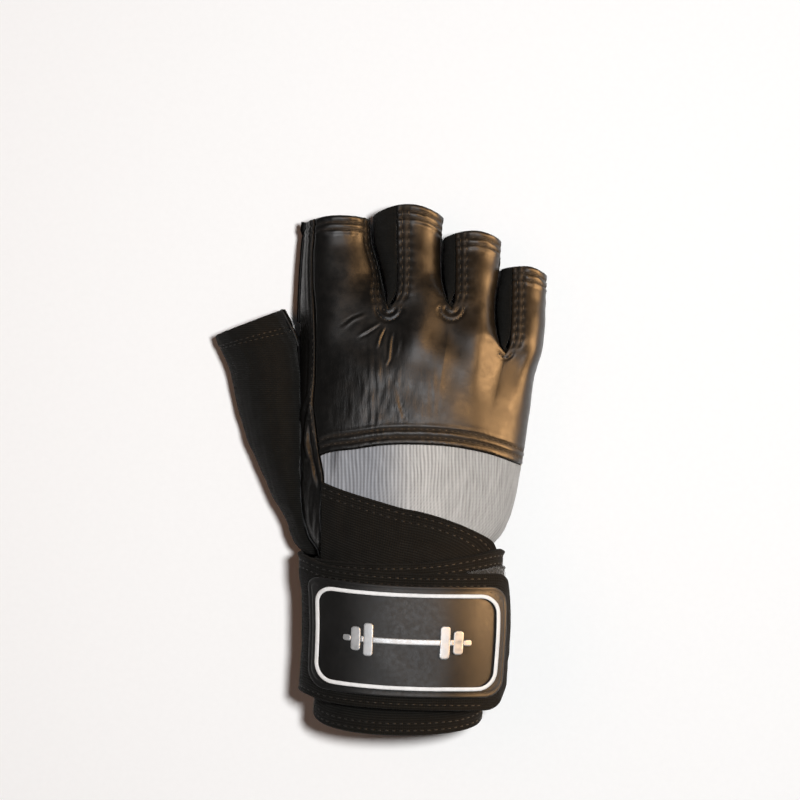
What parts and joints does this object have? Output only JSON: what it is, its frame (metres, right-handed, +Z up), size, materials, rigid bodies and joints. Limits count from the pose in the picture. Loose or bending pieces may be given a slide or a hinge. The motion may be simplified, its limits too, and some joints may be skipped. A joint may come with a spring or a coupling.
{
  "type": "weightlifting glove",
  "caption": "Fingerless right-hand lifting glove of black leather and grey stretch fabric, with a wound wrist strap closed by a rounded patch end.",
  "frame": {"origin": "Under the middle of the glove, on the surface that it lies on with its palm down.", "axes": "+X towards the little finger, +Y towards the fingertips, +Z up from the palm to the back of the hand."},
  "size_m": [0.1238, 0.195, 0.0536],
  "materials": {
    "knuckle_leather": "glossy black leather with fine grain and wrinkles",
    "palm_leather": "black leather, half matte, folded along the side",
    "gusset_fabric": "matte black fabric with stitched edges",
    "grey_stretch": "light grey stretch fabric with fine lengthwise ribs",
    "black_stretch": "matte black stretch fabric",
    "cuff_fabric": "matte black fabric with rows of stitches",
    "strap_webbing": "black woven elastic strap with stitched edges",
    "loop_tape": "fuzzy black loop tape",
    "patch_rubber": "dark grey moulded rubber, matte",
    "border_white": "white raised line",
    "emblem_silver": "satin silver raised relief"
  },
  "bodies": {
    "root": {"back_panel": "knuckle_leather", "palm_panel": "palm_leather", "side_strip": "palm_leather", "gusset_index_middle": "gusset_fabric", "gusset_middle_ring": "gusset_fabric", "gusset_ring_little": "gusset_fabric", "hand_back": "grey_stretch", "thumb_stall": "black_stretch", "thumb_gusset": "palm_leather", "wrist_cuff": "cuff_fabric", "wrist_strap": "strap_webbing", "loop_pad": "loop_tape", "patch": "patch_rubber", "patch_border": "border_white", "emblem": "emblem_silver"}
  },
  "joints": []
}
